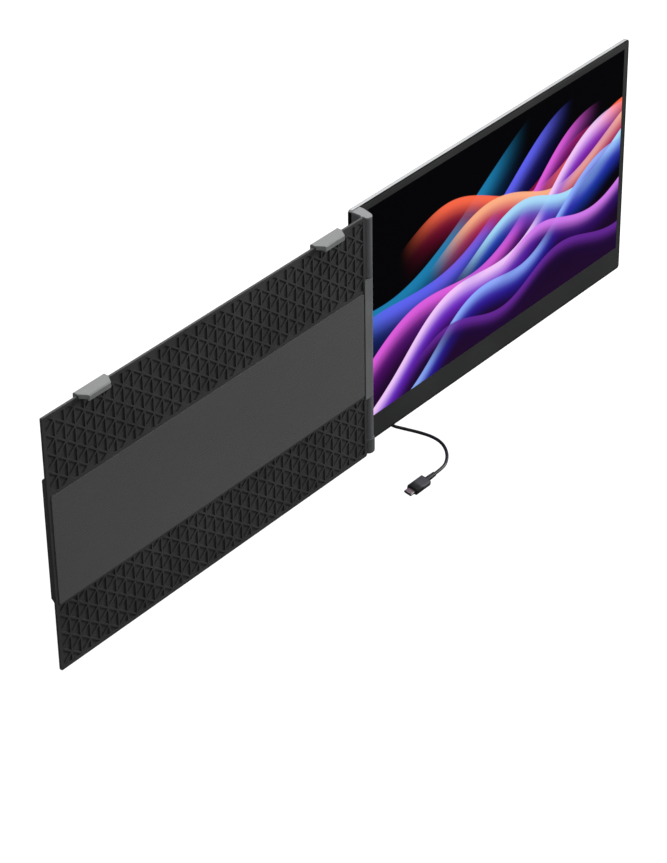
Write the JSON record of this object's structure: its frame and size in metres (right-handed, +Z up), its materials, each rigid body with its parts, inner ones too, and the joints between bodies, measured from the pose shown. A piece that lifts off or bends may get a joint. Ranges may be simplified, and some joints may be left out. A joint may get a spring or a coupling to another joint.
{
  "type": "clip-on folding portable monitor",
  "caption": "Thin portable monitor on an upright hinge, carried by a ribbed bracket that clips behind a thin hinged lid, with a folding support stand and a short cable.",
  "frame": {"origin": "on the front face of the bracket's soft band, which rests on the back of the lid it clips to, at half the band's height", "axes": "+X to the right along both screens, +Y to the back, +Z up along the lid"},
  "size_m": [0.7998, 0.1, 0.2611],
  "materials": {
    "frame_plastic": "fine moulded grain",
    "stand_plastic": "fine moulded grain",
    "clamp_plastic": "satin moulded",
    "bezel_plastic": "fine matte grain",
    "box_plastic": "fine moulded grain",
    "speaker_plastic": "moulded",
    "button_plastic": "satin",
    "plug_plastic": "fine matte",
    "cap_plastic": "satin",
    "band_rubber": "soft matte",
    "soft_rubber": "soft matte",
    "cable_jacket": "satin extruded",
    "spring_steel": "drawn wire",
    "steel": "rolled",
    "steel_black": "black oxide",
    "port_steel": "nickel plated",
    "hinge_metal": "satin coated die casting",
    "cap_metal": "satin coated",
    "shell_aluminium": "fine blasted and anodised",
    "display_glass": "gloss",
    "display_panel": "gloss",
    "circuit_board": "solder mask",
    "brass": "turned"
  },
  "bodies": {
    "frame": {"frame_front": "frame_plastic", "rear_cover": "frame_plastic", "cover_screws": "steel_black", "rest_band": "band_rubber", "clamp_springs_left": "spring_steel", "clamp_springs_right": "spring_steel", "stop_stud_left": "steel", "stop_stud_right": "steel", "middle_knuckle": "hinge_metal", "tongue_screws": "steel_black", "stand_ears": "frame_plastic", "stand_pins": "steel"},
    "clamp_left": {"clamp_hook_left": "clamp_plastic", "jaw_pad_left": "soft_rubber", "slide_strip_left": "steel"},
    "clamp_right": {"clamp_hook_right": "clamp_plastic", "jaw_pad_right": "soft_rubber", "slide_strip_right": "steel"},
    "stand": {"stand_panel": "stand_plastic", "stand_core": "steel", "stand_foot": "soft_rubber"},
    "monitor": {"front_bezel": "bezel_plastic", "display_glass": "display_glass", "display_panel": "display_panel", "back_shell": "shell_aluminium", "control_box": "box_plastic", "driver_board": "circuit_board", "board_spacers": "brass", "speakers": "speaker_plastic", "usb_ports": "port_steel", "video_port": "port_steel", "hinge_bar_upper": "hinge_metal", "hinge_bar_lower": "hinge_metal", "hinge_top_cap": "cap_metal", "hinge_bottom_cap": "cap_plastic", "hinge_shaft_upper": "steel", "hinge_shaft_lower": "steel", "friction_washers": "steel", "hinge_stiffener": "steel", "hinge_screws": "steel_black", "cable": "cable_jacket", "monitor_plug_body": "plug_plastic", "monitor_plug_shell": "port_steel", "monitor_strain_relief": "cable_jacket", "host_plug_body": "plug_plastic", "host_plug_shell": "port_steel", "host_strain_relief": "cable_jacket"},
    "button_power": {"button_power": "button_plastic"},
    "button_up": {"button_up": "button_plastic"},
    "button_down": {"button_down": "button_plastic"}
  },
  "joints": [
    {"name": "monitor_hinge", "type": "hinge", "parent": "frame", "child": "monitor", "pos_m": [0.1989, 0.005, 0], "axis": [0, 0, -1], "range_deg": [0, 180]},
    {"name": "clamp_left_slide", "type": "slide", "parent": "frame", "child": "clamp_left", "axis": [0, 0, 1], "range_m": [0, 0.025], "stiffness_N_per_m": 250, "springref_m": -0.015, "deforming": ["clamp_springs_left"]},
    {"name": "clamp_right_slide", "type": "slide", "parent": "frame", "child": "clamp_right", "axis": [0, 0, 1], "range_m": [0, 0.025], "stiffness_N_per_m": 250, "springref_m": -0.015, "deforming": ["clamp_springs_right"]},
    {"name": "stand_hinge", "type": "hinge", "parent": "frame", "child": "stand", "pos_m": [0, 0.009, -0.0568], "axis": [-1, 0, 0], "range_deg": [0, 130]},
    {"name": "button_power_push", "type": "slide", "parent": "monitor", "child": "button_power", "axis": [0, 0, 1], "range_m": [0, 0.0005], "stiffness_N_per_m": 900},
    {"name": "button_up_push", "type": "slide", "parent": "monitor", "child": "button_up", "axis": [0, 0, 1], "range_m": [0, 0.0005], "stiffness_N_per_m": 900},
    {"name": "button_down_push", "type": "slide", "parent": "monitor", "child": "button_down", "axis": [0, 0, 1], "range_m": [0, 0.0005], "stiffness_N_per_m": 900}
  ]
}
